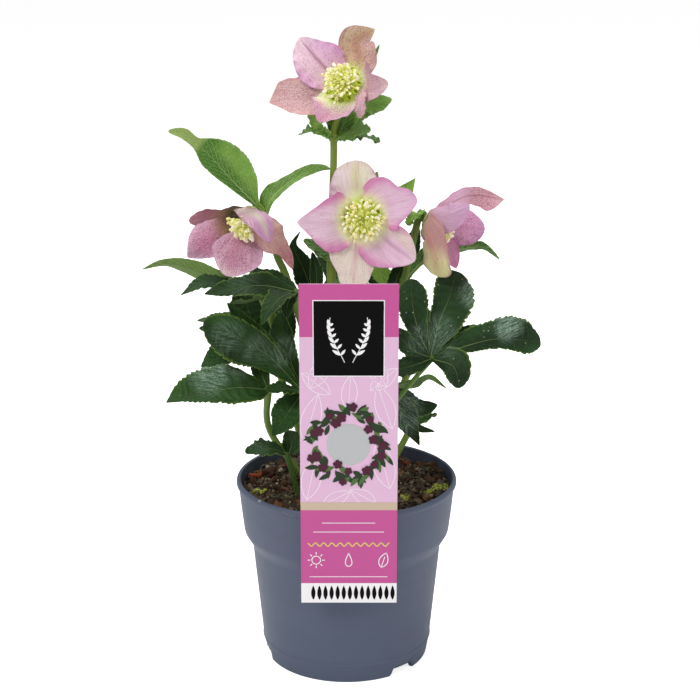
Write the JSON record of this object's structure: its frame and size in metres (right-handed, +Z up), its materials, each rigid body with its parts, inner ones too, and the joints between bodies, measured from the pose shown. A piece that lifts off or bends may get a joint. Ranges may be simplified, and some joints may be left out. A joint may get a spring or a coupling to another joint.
{
  "type": "potted hellebore plant",
  "caption": "Hellebore in a round nursery pot: lobed evergreen leaves and pink speckled flowers on upright stems, with a printed plant label hooked over the rim.",
  "frame": {"origin": "centre of the whole plant and pot in plan, on the ground under the pot", "axes": "+Z up; the front of the plant, where the label hangs, faces -Y; +X to the right seen from the front"},
  "size_m": [0.2078, 0.126, 0.3423],
  "materials": {
    "pot_plastic": "satin grey-blue",
    "soil": "peat potting soil with bark chips",
    "label_print": "printed card",
    "leaf_green": "leathery, half-gloss leaf",
    "stem_green": "smooth fleshy stem",
    "sepal_pink": "soft petal-like sepal",
    "nectary_green": "smooth",
    "stamen_cream": "powdery"
  },
  "bodies": {
    "root": {"pot": "pot_plastic", "soil": "soil", "label": "label_print", "leaf_left_broad": "leaf_green", "leaf_left_low": "leaf_green", "leaf_left_upper": "leaf_green", "leaf_left_high": "leaf_green", "leaf_right_broad": "leaf_green", "leaf_right_low": "leaf_green", "leaf_centre_left": "leaf_green", "leaf_centre_right": "leaf_green", "leaf_left_rear": "leaf_green", "leaf_base": "leaf_green", "leaf_back_left": "leaf_green", "leaf_back_middle": "leaf_green", "leaf_back_right": "leaf_green", "leaf_back_low": "leaf_green", "stem_top": "stem_green", "sepals_top": "sepal_pink", "nectaries_top": "nectary_green", "stamens_top": "stamen_cream", "stem_middle": "stem_green", "sepals_middle": "sepal_pink", "nectaries_middle": "nectary_green", "stamens_middle": "stamen_cream", "stem_left": "stem_green", "sepals_left": "sepal_pink", "nectaries_left": "nectary_green", "stamens_left": "stamen_cream", "stem_right": "stem_green", "sepals_right": "sepal_pink", "nectaries_right": "nectary_green", "stamens_right": "stamen_cream"}
  },
  "joints": []
}
